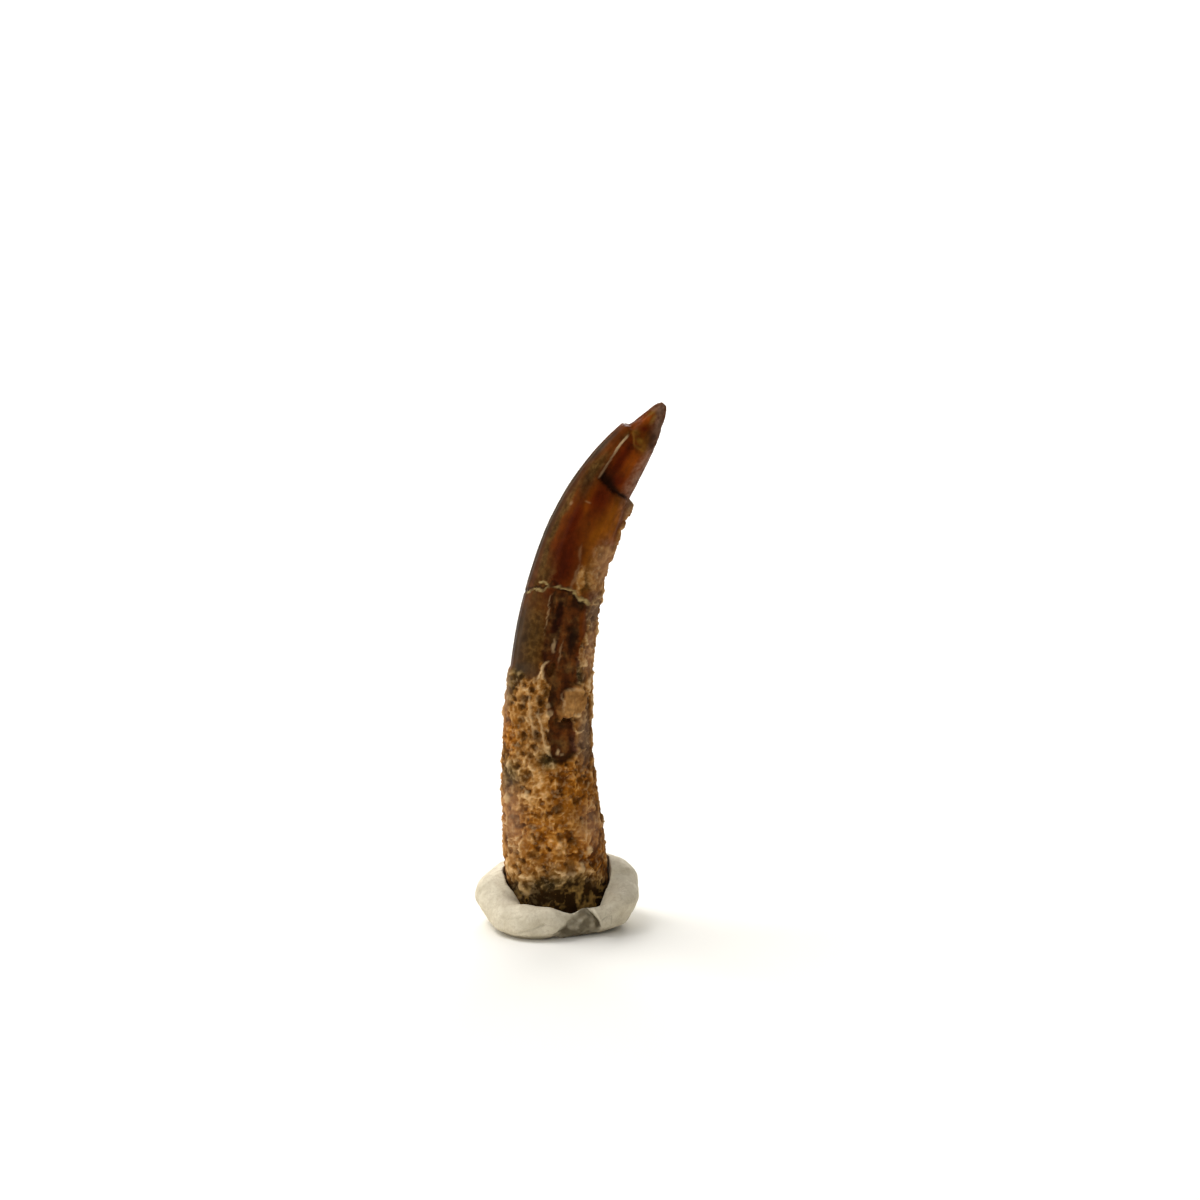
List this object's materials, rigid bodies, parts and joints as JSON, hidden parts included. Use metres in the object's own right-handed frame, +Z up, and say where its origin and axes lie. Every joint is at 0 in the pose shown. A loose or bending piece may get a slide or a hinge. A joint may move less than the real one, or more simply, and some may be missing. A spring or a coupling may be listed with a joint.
{
  "type": "fossil pterosaur tooth",
  "caption": "Curved, tapering fossil tooth with a worn tip, flaked brown enamel and sandy crust, held upright in a hand-rolled ring of display putty.",
  "frame": {"origin": "bottom centre of the bounding box, on the surface that the putty ring stands on", "axes": "+Z up, from the root to the tip; the tooth curves towards +X; its flaked and finished side faces -Y"},
  "size_m": [0.0092, 0.0074, 0.0254],
  "materials": {
    "fossil_tooth": "satin",
    "putty": "matte"
  },
  "bodies": {
    "root": {"tooth": "fossil_tooth", "putty_ring": "putty"}
  },
  "joints": []
}
